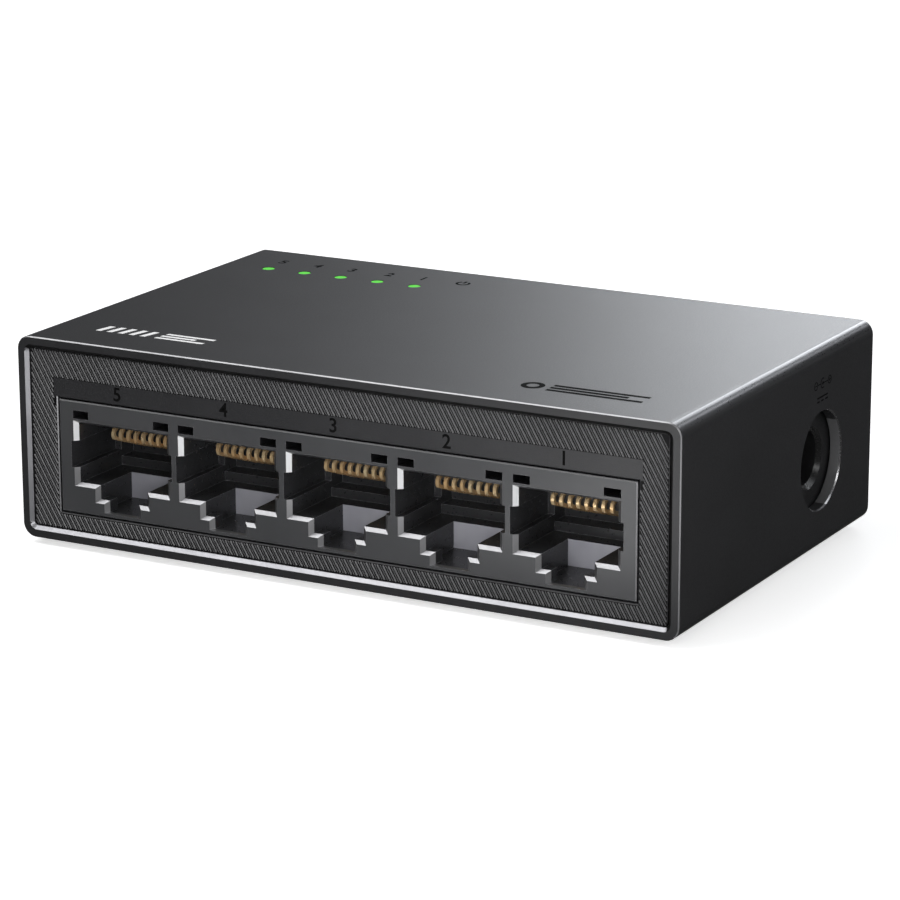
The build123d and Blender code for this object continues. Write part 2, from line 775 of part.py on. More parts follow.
with BuildPart() as rubber_feet:
    with BuildSketch(Plane.XY) as foot_section:
        for x in (-1, 1):
            for y in (-1, 1):
                with Locations((x * (case_width / 2 - foot_inset_x), y * (case_depth / 2 - foot_inset_y))):
                    Circle(foot_diameter / 2)
    extrude(amount=foot_standout + foot_pocket)
    chamfer(rubber_feet.edges().group_by(Axis.Z)[0], 0.3)
rubber_feet.part.label = "rubber_feet"
export_step(rubber_feet.part, "parts/rubber_feet.step")
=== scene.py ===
"""A desktop network switch with five sockets, dressed for a studio picture."""

import math

import bmesh
import bpy
from mathutils import Matrix, Vector


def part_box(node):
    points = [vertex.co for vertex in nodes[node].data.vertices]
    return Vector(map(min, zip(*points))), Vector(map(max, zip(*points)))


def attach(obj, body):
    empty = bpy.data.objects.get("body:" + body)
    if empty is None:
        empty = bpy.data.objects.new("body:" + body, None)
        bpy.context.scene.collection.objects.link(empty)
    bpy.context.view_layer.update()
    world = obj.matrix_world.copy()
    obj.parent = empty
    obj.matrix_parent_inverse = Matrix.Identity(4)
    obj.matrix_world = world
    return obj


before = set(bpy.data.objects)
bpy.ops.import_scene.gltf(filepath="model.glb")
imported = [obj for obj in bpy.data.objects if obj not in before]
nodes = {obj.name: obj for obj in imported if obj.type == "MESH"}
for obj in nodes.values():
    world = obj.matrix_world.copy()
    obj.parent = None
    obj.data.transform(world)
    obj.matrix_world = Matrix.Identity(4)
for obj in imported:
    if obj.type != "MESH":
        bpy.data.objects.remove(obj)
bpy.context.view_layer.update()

MM = 0.001

# Camera: bearing and height of the view, and the point that it looks at
VIEW_BEARING = 28.65
VIEW_HEIGHT = 15.47
VIEW_ROLL = -0.15
VIEW_DISTANCE = 395.6 * MM
VIEW_TARGET = Vector((14.52, -26.2, 18.43)) * MM
LENS = 146.64

# Studio
FLOOR_GLOW = 0.61
WORLD_DIM = 0.055

# Front panel
RIDGE_PITCH = 0.705 * MM
RIDGE_WIDTH = 0.21 * MM
FINE_WIDTH = 0.14 * MM
FINE_RISE = 0.09 * MM
RIDGE_RISE = 0.13 * MM
RIDGE_LEAN = 0.58
RIDGE_MARGIN = 0.06 * MM
BAND_HALF = 37.4 * MM

# Sizes that pick out faces of the CAD pieces
TOUCH = 0.02 * MM
RIM_BEVEL_DEPTH = 0.42 * MM
MOUTH_BEVEL_DEPTH = 0.47 * MM
BROKEN_EDGE_DEPTH = 0.14 * MM
HOLE_BREAK_DEPTH = 0.2 * MM
HOLE_BREAK_RADIUS = 6.1 * MM
HOLE_WALL_RADII = (5.5 * MM, 5.9 * MM)
JACK_MOUTH_RADIUS = 3.8 * MM
LATCH_STOP_DEPTH = 6.8 * MM
LATCH_TOP = 7.3 * MM

# Printed marks
INK_RISE = 0.012 * MM
INK_SPREAD = 0.035 * MM


# ---------------------------------------------------------------- materials


def new_material(name):
    """A new node material, its node tree and its shader."""
    material = bpy.data.materials.new(name)
    material.use_nodes = True
    tree = material.node_tree
    return material, tree, tree.nodes["Principled BSDF"]


def node(tree, kind, **values):
    """A node with its properties and unlinked inputs set."""
    made = tree.nodes.new(kind)
    for key, value in values.items():
        if hasattr(made, key):
            setattr(made, key, value)
        else:
            made.inputs[key.replace("_", " ")].default_value = value
    return made


def coordinates(tree):
    """Where a point is on its piece, in metres."""
    return node(tree, "ShaderNodeTexCoord").outputs["Object"]


def noise(tree, place, size, detail=3.0, roughness=0.55):
    """Noise whose features are about the given size."""
    made = node(tree, "ShaderNodeTexNoise", Scale=1.0 / size, Detail=detail, Roughness=roughness)
    tree.links.new(place, made.inputs["Vector"])
    return made.outputs["Fac"]


def spread(tree, value, low, high):
    """A value from 0 to 1 brought to the given range, with its middle stretched."""
    made = node(tree, "ShaderNodeMapRange", From_Min=0.3, From_Max=0.7, To_Min=low, To_Max=high)
    tree.links.new(value, made.inputs["Value"])
    return made.outputs["Result"]


def tint(tree, value, dark, light):
    """A colour between two others."""
    made = node(tree, "ShaderNodeMix", data_type="RGBA")
    made.inputs[6].default_value = (*dark, 1.0)
    made.inputs[7].default_value = (*light, 1.0)
    tree.links.new(value, made.inputs[0])
    return made.outputs[2]


def bump(tree, value, rise):
    """A normal whose relief is the given height."""
    made = node(tree, "ShaderNodeBump", Strength=1.0, Distance=rise)
    tree.links.new(value, made.inputs["Height"])
    return made.outputs["Normal"]


def edge_mask(tree, radius):
    """1 on arrises within the radius, 0 on flats."""
    rounded = node(tree, "ShaderNodeBevel", samples=4, Radius=radius)
    geometry = node(tree, "ShaderNodeNewGeometry")
    product = node(tree, "ShaderNodeVectorMath", operation="DOT_PRODUCT")
    tree.links.new(rounded.outputs["Normal"], product.inputs[0])
    tree.links.new(geometry.outputs["Normal"], product.inputs[1])
    made = node(tree, "ShaderNodeMapRange", From_Min=0.99, From_Max=0.85, To_Min=0.0, To_Max=1.0)
    tree.links.new(product.outputs["Value"], made.inputs["Value"])
    return made.outputs["Result"]


def moulded(name, dark, light, rough, grain, rise, specular=0.5, metallic=0.0, blotch=0.012):
    """Plastic or metal with a fine grain, slow changes of colour and uneven gloss."""
    material, tree, shader = new_material(name)
    place = coordinates(tree)
    slow = noise(tree, place, blotch, 2.0)
    fine = noise(tree, place, grain, 4.0, 0.6)
    tree.links.new(tint(tree, spread(tree, slow, 0.0, 1.0), dark, light), shader.inputs["Base Color"])
    tree.links.new(spread(tree, fine, rough[0], rough[1]), shader.inputs["Roughness"])
    tree.links.new(bump(tree, fine, rise), shader.inputs["Normal"])
    shader.inputs["Specular IOR Level"].default_value = specular
    shader.inputs["Metallic"].default_value = metallic
    return material


def paint_edge_highlights(material, radius, colour):
    """Painted highlights: paler arrises within the radius."""
    tree = material.node_tree
    shader = tree.nodes["Principled BSDF"]
    under = shader.inputs["Base Color"].links[0].from_socket
    made = node(tree, "ShaderNodeMix", data_type="RGBA")
    made.inputs[7].default_value = (*colour, 1.0)
    tree.links.new(edge_mask(tree, radius), made.inputs[0])
    tree.links.new(under, made.inputs[6])
    tree.links.new(made.outputs[2], shader.inputs["Base Color"])


def glowing(name, colour, strength):
    """A lit window: clear plastic with light behind it, a little brighter in the middle of its grain."""
    material, tree, shader = new_material(name)
    place = coordinates(tree)
    cells = noise(tree, place, 0.0004, 2.0)
    tree.links.new(tint(tree, cells, [c * 0.7 for c in colour], colour), shader.inputs["Base Color"])
    tree.links.new(tint(tree, cells, [c * 0.75 for c in colour], colour), shader.inputs["Emission Color"])
    shader.inputs["Emission Strength"].default_value = strength
    shader.inputs["Roughness"].default_value = 0.25
    return material


case_satin = moulded(
    "case_satin", (0.021, 0.021, 0.0225), (0.025, 0.025, 0.027), (0.42, 0.52), 0.00016, 0.000012
)
# Painted highlight: a pale metal finish for the bevel inside the front rim, standing for light it catches.
rim_bevel_painted_highlight = moulded(
    "rim_bevel_painted_highlight", (0.34, 0.34, 0.36), (0.42, 0.42, 0.44), (0.36, 0.46), 0.0003, 0.000002, metallic=0.75
)
# Painted shade: a near-black finish for the upper and the right runs of the rim bevel.
rim_bevel_painted_shade = moulded(
    "rim_bevel_painted_shade", (0.004, 0.004, 0.004), (0.007, 0.007, 0.007), (0.4, 0.5), 0.0002, 0.000002, specular=0.2
)
# Painted highlight: a pale metal finish for broken edges that face the top or the right.
edge_painted_highlight = moulded(
    "edge_painted_highlight", (0.30, 0.30, 0.31), (0.37, 0.37, 0.38), (0.3, 0.4), 0.0003, 0.000002, metallic=0.6
)
# Painted light: a pale grey for the end wall of each latch channel, standing for the light that reaches it.
latch_stop_painted_light = moulded(
    "latch_stop_painted_light", (0.30, 0.30, 0.34), (0.38, 0.38, 0.42), (0.3, 0.4), 0.0006, 0.000002, blotch=0.004
)
# Painted highlight: a bright metal finish for the broken edge of the power inlet's hole.
inlet_edge_painted_highlight = moulded(
    "inlet_edge_painted_highlight", (0.42, 0.42, 0.43), (0.52, 0.52, 0.53), (0.2, 0.32), 0.0003, 0.000002, metallic=1.0
)
# Painted highlight: a pale metal finish for the bevels round the socket mouths.
mouth_bevel_painted_highlight = moulded(
    "mouth_bevel_painted_highlight", (0.30, 0.30, 0.31), (0.36, 0.36, 0.37), (0.3, 0.4), 0.0003, 0.000002, metallic=0.9
)
# Painted highlight: a near-white finish for the upper left part of the mouth bevels.
bright_bevel_painted_highlight = moulded(
    "bright_bevel_painted_highlight", (0.70, 0.71, 0.72), (0.78, 0.78, 0.79), (0.38, 0.46), 0.0004, 0.0000005, metallic=0.6
)
jack_sheen = moulded("jack_sheen", (0.012, 0.012, 0.012), (0.018, 0.018, 0.018), (0.2, 0.3), 0.0002, 0.000002)
# Painted sheen: a grey much paler than the case, for the part of the inlet hole's wall that shows.
inlet_wall_painted_sheen = moulded("inlet_wall_painted_sheen", (0.12, 0.12, 0.123), (0.16, 0.16, 0.164), (0.3, 0.4), 0.0003, 0.000002)
# Painted sheen: a metal finish on the rounded edge between the top and the right side only.
corner_painted_sheen = moulded(
    "corner_painted_sheen",
    (0.065, 0.065, 0.068),
    (0.085, 0.085, 0.089),
    (0.26, 0.34),
    0.0003,
    0.000002,
    metallic=0.85,
)
panel_satin = moulded(
    "panel_satin", (0.020, 0.020, 0.022), (0.026, 0.026, 0.028), (0.4, 0.55), 0.0002, 0.00003
)
# Painted light: the ridges are several times paler than the panel they stand on, for the light they catch.
ridge_painted_light = moulded(
    "ridge_painted_light", (0.085, 0.085, 0.088), (0.105, 0.105, 0.108), (0.24, 0.34), 0.0002, 0.000004
)
# Painted shade: a near-black film on the ground between the ridges.
groove_painted_shade = moulded(
    "groove_painted_shade", (0.004, 0.004, 0.0043), (0.006, 0.006, 0.0065), (0.6, 0.7), 0.0002, 0.000004, specular=0.15
)
socket_satin = moulded(
    "socket_satin", (0.050, 0.051, 0.054), (0.060, 0.061, 0.064), (0.28, 0.38), 0.0003, 0.0000015
)
# Painted shade: a darker copy of the socket finish for the faces deep inside the sockets.
socket_inner_painted_shade = moulded(
    "socket_inner_painted_shade", (0.022, 0.0225, 0.0245), (0.028, 0.0285, 0.031), (0.26, 0.34), 0.0004, 0.0000012
)
# Painted highlights on the arrises inside the sockets and on the socket block's face.
paint_edge_highlights(socket_inner_painted_shade, 0.05 * MM, (0.34, 0.34, 0.36))
paint_edge_highlights(socket_satin, 0.03 * MM, (0.30, 0.30, 0.32))
# Black of the wire combs; on the walls of the blind windows over the sockets it is painted shade.
comb_black_and_window_shade = moulded("comb_black_and_window_shade", (0.006, 0.006, 0.007), (0.01, 0.01, 0.011), (0.4, 0.6), 0.0002, 0.00001)
gilt = moulded(
    "gilt", (1.0, 0.64, 0.31), (1.0, 0.79, 0.48), (0.2, 0.28), 0.0004, 0.0000004, metallic=0.66, blotch=0.002
)
nickel = moulded(
    "nickel",
    (0.62, 0.61, 0.58),
    (0.72, 0.71, 0.69),
    (0.12, 0.26),
    0.0004,
    0.000002,
    metallic=1.0,
    blotch=0.002,
)
zinc = moulded("zinc", (0.45, 0.45, 0.46), (0.58, 0.58, 0.6), (0.25, 0.45), 0.0003, 0.000006, metallic=1.0)
tin = moulded("tin", (0.55, 0.55, 0.55), (0.68, 0.68, 0.67), (0.25, 0.45), 0.0003, 0.000004, metallic=1.0)
can = moulded("can", (0.6, 0.6, 0.62), (0.72, 0.72, 0.74), (0.22, 0.36), 0.0002, 0.000004, metallic=1.0)
epoxy = moulded("epoxy", (0.012, 0.012, 0.013), (0.02, 0.02, 0.021), (0.5, 0.7), 0.00015, 0.00001)
ferrite = moulded("ferrite", (0.05, 0.05, 0.052), (0.075, 0.074, 0.072), (0.5, 0.75), 0.0003, 0.00002)
ceramic = moulded("ceramic", (0.36, 0.25, 0.15), (0.5, 0.36, 0.23), (0.3, 0.45), 0.0003, 0.000004)
laminate = moulded("laminate", (0.008, 0.06, 0.03), (0.014, 0.09, 0.045), (0.18, 0.3), 0.0006, 0.000006)
jack_black = moulded(
    "jack_black", (0.011, 0.011, 0.012), (0.016, 0.016, 0.017), (0.32, 0.48), 0.0002, 0.000006
)
rubber = moulded("rubber", (0.012, 0.012, 0.012), (0.02, 0.02, 0.02), (0.7, 0.9), 0.0003, 0.00002)
lens_clear = moulded("lens_clear", (0.2, 0.6, 0.25), (0.3, 0.75, 0.35), (0.15, 0.3), 0.0004, 0.000004)
pipe_clear = moulded("pipe_clear", (0.10, 0.16, 0.11), (0.14, 0.22, 0.15), (0.12, 0.24), 0.0004, 0.000002)
light_green = glowing("light_green", (0.11, 0.56, 0.07), 1.0)
ink_black = moulded(
    "ink_black", (0.003, 0.003, 0.003), (0.005, 0.005, 0.005), (0.8, 0.95), 0.0002, 0.000002, specular=0.05
)
ink_white_painted_glow = moulded("ink_white_painted_glow", (0.9, 0.9, 0.9), (0.97, 0.97, 0.97), (0.4, 0.6), 0.0002, 0.000002)
# Painted light: the white print glows a little, though it has no light of its own.
ink_white_painted_glow.node_tree.nodes["Principled BSDF"].inputs["Emission Color"].default_value = (1.0, 1.0, 1.0, 1.0)
ink_white_painted_glow.node_tree.nodes["Principled BSDF"].inputs["Emission Strength"].default_value = 0.25

FINISHES = {
    "housing_sleeve": case_satin,
    "front_bezel": panel_satin,
    "rear_panel": panel_satin,
    "rear_panel_screws": zinc,
    "rj45_block": socket_satin,
    "wire_combs": comb_black_and_window_shade,
    "contact_wires_fixed": gilt,
    "contacts_port_1": gilt,
    "contacts_port_2": gilt,
    "contacts_port_3": gilt,
    "contacts_port_4": gilt,
    "contacts_port_5": gilt,
    "main_pcb": laminate,
    "switch_chip": epoxy,
    "line_transformers": epoxy,
    "transformer_leads": tin,
    "crystal": can,
    "regulator_chip": epoxy,
    "buck_inductor": ferrite,
    "smoothing_capacitors": can,
    "ceramic_capacitors": ceramic,
    "led_chips": lens_clear,
    "light_pipes": pipe_clear,
    "dc_jack_body": jack_black,
    "dc_jack_pin": nickel,
    "dc_jack_terminals": nickel,
    "dc_jack_spring": nickel,
    "rubber_feet": rubber,
}
for name, finish in FINISHES.items():
    nodes[name].data.materials.clear()
    nodes[name].data.materials.append(finish)


# ---------------------------------------------------------------- sizes read from the frame

sleeve_low, sleeve_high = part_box("housing_sleeve")
block_low, block_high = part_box("rj45_block")
jack_low, jack_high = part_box("dc_jack_body")
pipe_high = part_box("light_pipes")[1]
panel_face = min(v.co.y for v in nodes["front_bezel"].data.vertices)
block_face = block_low.y
rim_face = sleeve_low.y
inner_half = max(v.co.x for v in nodes["front_bezel"].data.vertices if v.co.y < panel_face + 0.5 * MM)
inner_low = min(v.co.z for v in nodes["front_bezel"].data.vertices if v.co.y < panel_face + 0.5 * MM)
inner_high = max(v.co.z for v in nodes["front_bezel"].data.vertices if v.co.y < panel_face + 0.5 * MM)
window_half = block_high.x + 0.2 * MM
window_low = block_low.z - 0.2 * MM
window_high = block_high.z + 0.2 * MM
inlet_y = (jack_low.y + jack_high.y) / 2
inlet_z = sleeve_low.z + 10.79 * MM
band_low = window_high
band_high = sleeve_low.z + 19.4 * MM


def paint_faces(piece_name, finish, wanted):
    """Give a finish of their own to the faces of a CAD piece that a test picks out."""
    mesh = nodes[piece_name].data
    mesh.materials.append(finish)
    index = len(mesh.materials) - 1
    for face in mesh.polygons:
        corners = [mesh.vertices[v].co for v in face.vertices]
        if wanted(face, corners):
            face.material_index = index


def on_inner_rim(face, corners):
    """The narrow bevel inside the sleeve's front rim, which gets a painted highlight, or painted shade on its
    upper and right runs.
    """
    centre = face.center
    near_rim = rim_face + TOUCH < centre.y < rim_face + RIM_BEVEL_DEPTH
    reach = MOUTH_BEVEL_DEPTH
    across = abs(centre.x) < inner_half + reach
    inside = across and inner_low - reach < centre.z < inner_high + reach
    return near_rim and inside and 0.5 < -face.normal.y < 0.9


def on_inlet_edge(face, corners):
    """The broken edge of the round hole in the right side, which gets a painted highlight."""
    outermost = max(c.x for c in corners) > sleeve_high.x - TOUCH
    innermost = min(c.x for c in corners) > sleeve_high.x - HOLE_BREAK_DEPTH
    near = math.hypot(face.center.y - inlet_y, face.center.z - inlet_z) < HOLE_BREAK_RADIUS
    return outermost and innermost and near and 0.4 < face.normal.x < 0.9


def on_inlet_wall(face, corners):
    """The part of that hole's wall which shows from the front right, which gets a painted sheen."""
    away, up = face.center.y - inlet_y, face.center.z - inlet_z
    near = HOLE_WALL_RADII[0] < math.hypot(away, up) < HOLE_WALL_RADII[1]
    return near and abs(face.normal.x) < 0.2 and away > 1.5 * MM and up < 3.6 * MM


def on_light_top(face, corners):
    """The upper end of a light pipe, which shows in the case's top."""
    return min(c.z for c in corners) > pipe_high.z - 0.3 * MM and face.normal.z > 0.5


def on_corner_round(face, corners):
    """The rounded edge between the sleeve's top and its right side, which gets a painted sheen."""
    slanted = 0.3 < face.normal.x < 0.9 and face.normal.z > 0.3
    return face.center.x > 0 and slanted and abs(face.normal.y) < 0.2


def on_jack_mouth(face, corners):
    """The countersunk mouth of the power inlet's bore."""
    near = math.hypot(face.center.y - inlet_y, face.center.z - inlet_z) < JACK_MOUTH_RADIUS
    return face.center.x > jack_high.x - 0.6 * MM and near and 0.4 < face.normal.x < 0.9


def in_socket_row(face):
    """Inside the outer edges of the socket block's face."""
    across = abs(face.center.x) < block_high.x - 1.0 * MM
    return across and block_low.z + 0.3 * MM < face.center.z < block_high.z - 0.5 * MM


def on_mouth_bevel(face, corners):
    """The bevel round a socket's mouth, which gets a painted highlight."""
    shallow = max(c.y for c in corners) < block_face + MOUTH_BEVEL_DEPTH
    return shallow and in_socket_row(face) and 0.2 < -face.normal.y < 0.995


def on_bright_bevel(face, corners):
    """The part of that bevel beside the top of the plug space, on the left, which gets a brighter painted
    highlight.
    """
    low = min(c.z for c in corners)
    return on_mouth_bevel(face, corners) and face.normal.x > 0.3 and low > sleeve_low.z + 12.0 * MM


def in_light_window(face, corners):
    """The walls of the small blind windows over the sockets, which are painted black as shade."""
    low, high = sleeve_low.z + 14.8 * MM, sleeve_low.z + 15.9 * MM
    return all(low < c.z < high for c in corners) and face.center.y > block_face + 0.01 * MM


def inside_socket(face, corners):
    """Every face of the socket block that lies behind its bevels, which gets painted shade."""
    return face.center.y > block_face + 0.46 * MM or max(c.y for c in corners) > block_face + 0.6 * MM


def on_shaded_rim(face, corners):
    """The upper and the right runs of that bevel, which face down and away and get painted shade."""
    return on_inner_rim(face, corners) and (face.normal.z < -0.3 or face.normal.x < -0.3)


def on_outer_edge(face, corners):
    """The broken outer edge of the sleeve's front, on the top and the right, which gets a painted highlight.
    """
    shallow = max(c.y for c in corners) < rim_face + BROKEN_EDGE_DEPTH
    towards = face.normal.x > 0.35 or face.normal.z > 0.6
    outside = face.center.x > sleeve_high.x - 0.6 * MM or face.center.z > sleeve_high.z - 0.6 * MM
    return shallow and towards and outside and 0.3 < -face.normal.y < 0.95


def on_right_break(face, corners):
    """A broken front edge that faces right, of the socket block or round the panel's window, which gets a
    painted highlight.
    """
    shallow = max(c.y for c in corners) < block_face + 0.15 * MM
    return shallow and not in_socket_row(face) and face.normal.x > 0.5 and 0.3 < -face.normal.y < 0.95


def on_latch_stop(face, corners):
    """The wall at the far end of a latch channel, painted paler as the light that reaches it."""
    low = max(c.z for c in corners) < sleeve_low.z + LATCH_TOP
    at_stop = abs(face.center.y - block_face - LATCH_STOP_DEPTH) < 0.1 * MM
    return low and at_stop and face.normal.y < -0.9


# Each of these pieces is one moulding. Apart from the lit ends of the light pipes, these finishes stand
# in for the light and shade that the front right view shows on its edges and in its hollows, so they are
# uneven from side to side.
paint_faces("housing_sleeve", rim_bevel_painted_highlight, on_inner_rim)
paint_faces("housing_sleeve", rim_bevel_painted_shade, on_shaded_rim)
paint_faces("housing_sleeve", edge_painted_highlight, on_outer_edge)
paint_faces("front_bezel", edge_painted_highlight, on_right_break)
paint_faces("housing_sleeve", inlet_edge_painted_highlight, on_inlet_edge)
paint_faces("housing_sleeve", inlet_wall_painted_sheen, on_inlet_wall)
paint_faces("housing_sleeve", corner_painted_sheen, on_corner_round)
paint_faces("light_pipes", light_green, on_light_top)
paint_faces("dc_jack_body", jack_sheen, on_jack_mouth)
paint_faces("rj45_block", socket_inner_painted_shade, inside_socket)
paint_faces("rj45_block", comb_black_and_window_shade, in_light_window)
paint_faces("rj45_block", mouth_bevel_painted_highlight, on_mouth_bevel)
paint_faces("rj45_block", bright_bevel_painted_highlight, on_bright_bevel)
paint_faces("rj45_block", edge_painted_highlight, on_right_break)
paint_faces("rj45_block", latch_stop_painted_light, on_latch_stop)


# ---------------------------------------------------------------- front panel ridges


def finish_piece(name, made, finish):
    """Turn a built shape into a piece that rides on the case."""
    bmesh.ops.recalc_face_normals(made, faces=made.faces)
    mesh = bpy.data.meshes.new(name)
    made.to_mesh(mesh)
    made.free()
    mesh.materials.append(finish)
    piece = bpy.data.objects.new(name, mesh)
    bpy.context.scene.collection.objects.link(piece)
    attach(piece, "case")


def outside_boxes(x, z, boxes):
    """Whether a point is clear of every box, each a pair of X and Z limits."""
    return not any(b[0] < x < b[1] and b[2] < z < b[3] for b in boxes)


def ridge_runs(start_x, keep_out, low, high, side):
    """Lengths of one slanting ridge that lie on the panel: pairs of high and low Z."""
    step = 0.05 * MM
    runs, open_at = [], None
    count = int((high - low) / step)
    for index in range(count + 1):
        z = high - index * step
        x = start_x + RIDGE_LEAN * (high - z)
        here = abs(x) < side and outside_boxes(x, z, keep_out) and index < count
        if here and open_at is None:
            open_at = z
        if not here and open_at is not None:
            if open_at - z > 0.25 * MM:
                runs.append((open_at, z + step))
            open_at = None
    return runs


def add_ridge(made, begin, end, width, rise, section):
    """One ridge between two points of the panel, with tapered ends."""
    across = Vector((1.0, 0.0, RIDGE_LEAN)).normalized()
    along = (end - begin).normalized()
    rings = []
    taper = along * 0.08 * MM
    for place, share in [(begin, 0.0), (begin + taper, 1.0), (end - taper, 1.0), (end, 0.0)]:
        ring = []
        for offset, lift in section:
            corner = place + across * offset * width * (0.55 + 0.45 * share)
            corner.y = panel_face + 0.01 * MM - (rise + 0.01 * MM) * lift * share
            ring.append(made.verts.new(corner))
        rings.append(ring)
    for a, b in zip(rings, rings[1:]):
        for k in range(len(section) - 1):
            made.faces.new((a[k], a[k + 1], b[k + 1], b[k]))


def build_ridges():
    """Slanting ridges, broad and fine by turns, on the front panel outside the smooth band and the window,
    painted paler than the panel as the light they catch.
    """
    made = bmesh.new()
    edge = 0.14 * MM
    keep_out = [
        (-window_half - edge, window_half + edge, window_low - edge, window_high),
        (-BAND_HALF, BAND_HALF, band_low - 1.0 * MM, band_high),
    ]
    low = inner_low + RIDGE_MARGIN
    high = inner_high - RIDGE_MARGIN
    side = inner_half - RIDGE_MARGIN
    broad = (RIDGE_WIDTH, RIDGE_RISE, [(-0.5, 0.0), (-0.34, 0.9), (-0.16, 1.0), (0.1, 1.0), (0.5, 0.0)])
    fine = (FINE_WIDTH, FINE_RISE, [(-0.5, 0.0), (-0.1, 1.0), (0.1, 1.0), (0.5, 0.0)])
    reach = side + (high - low) * RIDGE_LEAN
    for index in range(int((side + reach) / RIDGE_PITCH)):
        for shift, (width, rise, section) in ((0.0, broad), (0.5, fine)):
            start_x = -reach + (index + shift) * RIDGE_PITCH
            for top, bottom in ridge_runs(start_x, keep_out, low, high, side):
                begin = Vector((start_x + RIDGE_LEAN * (high - top), panel_face, top))
                end = Vector((start_x + RIDGE_LEAN * (high - bottom), panel_face, bottom))
                add_ridge(made, begin, end, width, rise, section)
    finish_piece("panel_ridges", made, ridge_painted_light)


def build_groove_film():
    """Painted shade: thin dark films on the ground between the ridges, which leave the smooth band clear."""
    made = bmesh.new()
    edge = 0.13 * MM
    side = inner_half - 0.04 * MM
    low, high = inner_low + 0.04 * MM, inner_high - 0.04 * MM
    areas = [
        (-side, side, band_high, high),
        (-side, -BAND_HALF, window_high, band_high),
        (BAND_HALF, side, window_high, band_high),
        (-side, -window_half - edge, window_low - edge, window_high),
        (window_half + edge, side, window_low - edge, window_high),
        (-side, side, low, window_low - edge),
    ]
    depth = panel_face - 0.008 * MM
    for left, right, bottom, top in areas:
        flat = [(left, bottom), (right, bottom), (right, top), (left, top)]
        lower = [made.verts.new((x, panel_face, z)) for x, z in flat]
        upper = [made.verts.new((x, depth, z)) for x, z in flat]
        made.faces.new(upper)
        for k in range(4):
            made.faces.new((lower[k], lower[(k + 1) % 4], upper[(k + 1) % 4], upper[k]))
    finish_piece("panel_groove_shade", made, groove_painted_shade)


build_groove_film()
build_ridges()


# ---------------------------------------------------------------- printed marks


def place_text(name, words, size, location, rotation, ink):
    """A printed number, as a thin raised film."""
    curve = bpy.data.curves.new(name, "FONT")
    curve.body = words
    curve.size = size
    curve.align_x = "CENTER"
    curve.align_y = "CENTER"
    curve.extrude = INK_RISE / 2
    curve.offset = INK_SPREAD
    curve.materials.append(ink)
    piece = bpy.data.objects.new(name, curve)
    piece.location = location
    piece.rotation_euler = rotation
    bpy.context.scene.collection.objects.link(piece)
    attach(piece, "case")
    return piece


def arc(centre, outer, inner, start, end, steps=28):
    """Corners of a curved stroke round a centre, between two angles in degrees."""
    angles = [math.radians(start + (end - start) * k / steps) for k in range(steps + 1)]
    away = [(centre[0] + outer * math.cos(a), centre[1] + outer * math.sin(a)) for a in angles]
    back = [(centre[0] + inner * math.cos(a), centre[1] + inner * math.sin(a)) for a in reversed(angles)]
    return away + back


def bar(left, low, right, high, slant=0.0):
    """Corners of a straight stroke, with its upper end moved across by the slant."""
    return [(left, low), (right, low), (right + slant, high), (left + slant, high)]


def stamp(name, shapes, origin, across, up, ink):
    """A printed mark: flat shapes in millimetres, laid on a face as a thin film."""
    made = bmesh.new()
    across, up = Vector(across), Vector(up)
    out = across.cross(up) * INK_RISE
    for shape in shapes:
        place = [Vector(origin) + across * x * MM + up * y * MM for x, y in shape]
        lower = [made.verts.new(corner) for corner in place]
        upper = [made.verts.new(corner + out) for corner in place]
        made.faces.new(upper)
        for k in range(len(shape)):
            following = (k + 1) % len(shape)
            made.faces.new((lower[k], lower[following], upper[following], upper[k]))
    bmesh.ops.triangulate(made, faces=[f for f in made.faces if len(f.verts) > 4])
    finish_piece(name, made, ink)


def on_top(x, back):
    """A place on the top, given across and behind the front rim in millimetres."""
    return (x * MM, rim_face + back * MM, sleeve_high.z)


def on_right(back, rise):
    """A place on the right side, given behind the front rim and above the case's bottom."""
    return (sleeve_high.x, rim_face + back * MM, sleeve_low.z + rise * MM)


port_places = [14.2 * (index - 2) for index in range(5)]
for index, x in enumerate(port_places):
    number = str(5 - index)
    place_text(
        f"front_number_{number}",
        number,
        2.25 * MM,
        ((x - 0.35) * MM, panel_face - INK_RISE / 2, sleeve_low.z + 18.3 * MM),
        (math.radians(90), 0, 0),
        ink_black,
    )
for index, x in enumerate((-34.7, -29.7, -24.8, -19.5, -14.8)):
    number = str(5 - index)
    place = Vector(on_top(x, 47.0)) + Vector((0, 0, INK_RISE / 2))
    place_text(f"light_number_{number}", number, 2.2 * MM, place, (0, 0, 0), ink_black)

RIGHT, BACK, UP = (1, 0, 0), (0, 1, 0), (0, 0, 1)
power_sign = [arc((0, 0), 0.92, 0.6, 125, 270), arc((0, 0), 0.92, 0.6, 270, 415), bar(-0.17, 0.1, 0.17, 1.05)]
stamp("power_sign", power_sign, on_top(-9.3, 47.0), RIGHT, BACK, ink_black)
white_mark = [bar(-7.4 + 1.5 * k, -1.2, -6.7 + 1.5 * k, 1.2, 0.5) for k in range(5)]
white_mark += [bar(0.6, -1.2, 7.0, -0.7, 0.1), bar(0.8, -0.25, 5.4, 0.25, 0.1), bar(1.0, 0.7, 7.4, 1.2, 0.1)]
stamp("white_mark", white_mark, on_top(-27.8, 7.2), RIGHT, BACK, ink_white_painted_glow)
black_mark = [arc((-6.3, 0), 1.35, 0.7, 0, 180), arc((-6.3, 0), 1.35, 0.7, 180, 360)]
black_mark += [bar(-4.2, -1.3, 7.3, -0.7), bar(-4.2, -0.3, 5.2, 0.3), bar(-4.2, 0.7, 7.3, 1.3)]
stamp("black_mark", black_mark, on_top(27.2, 7.1), RIGHT, BACK, ink_black)
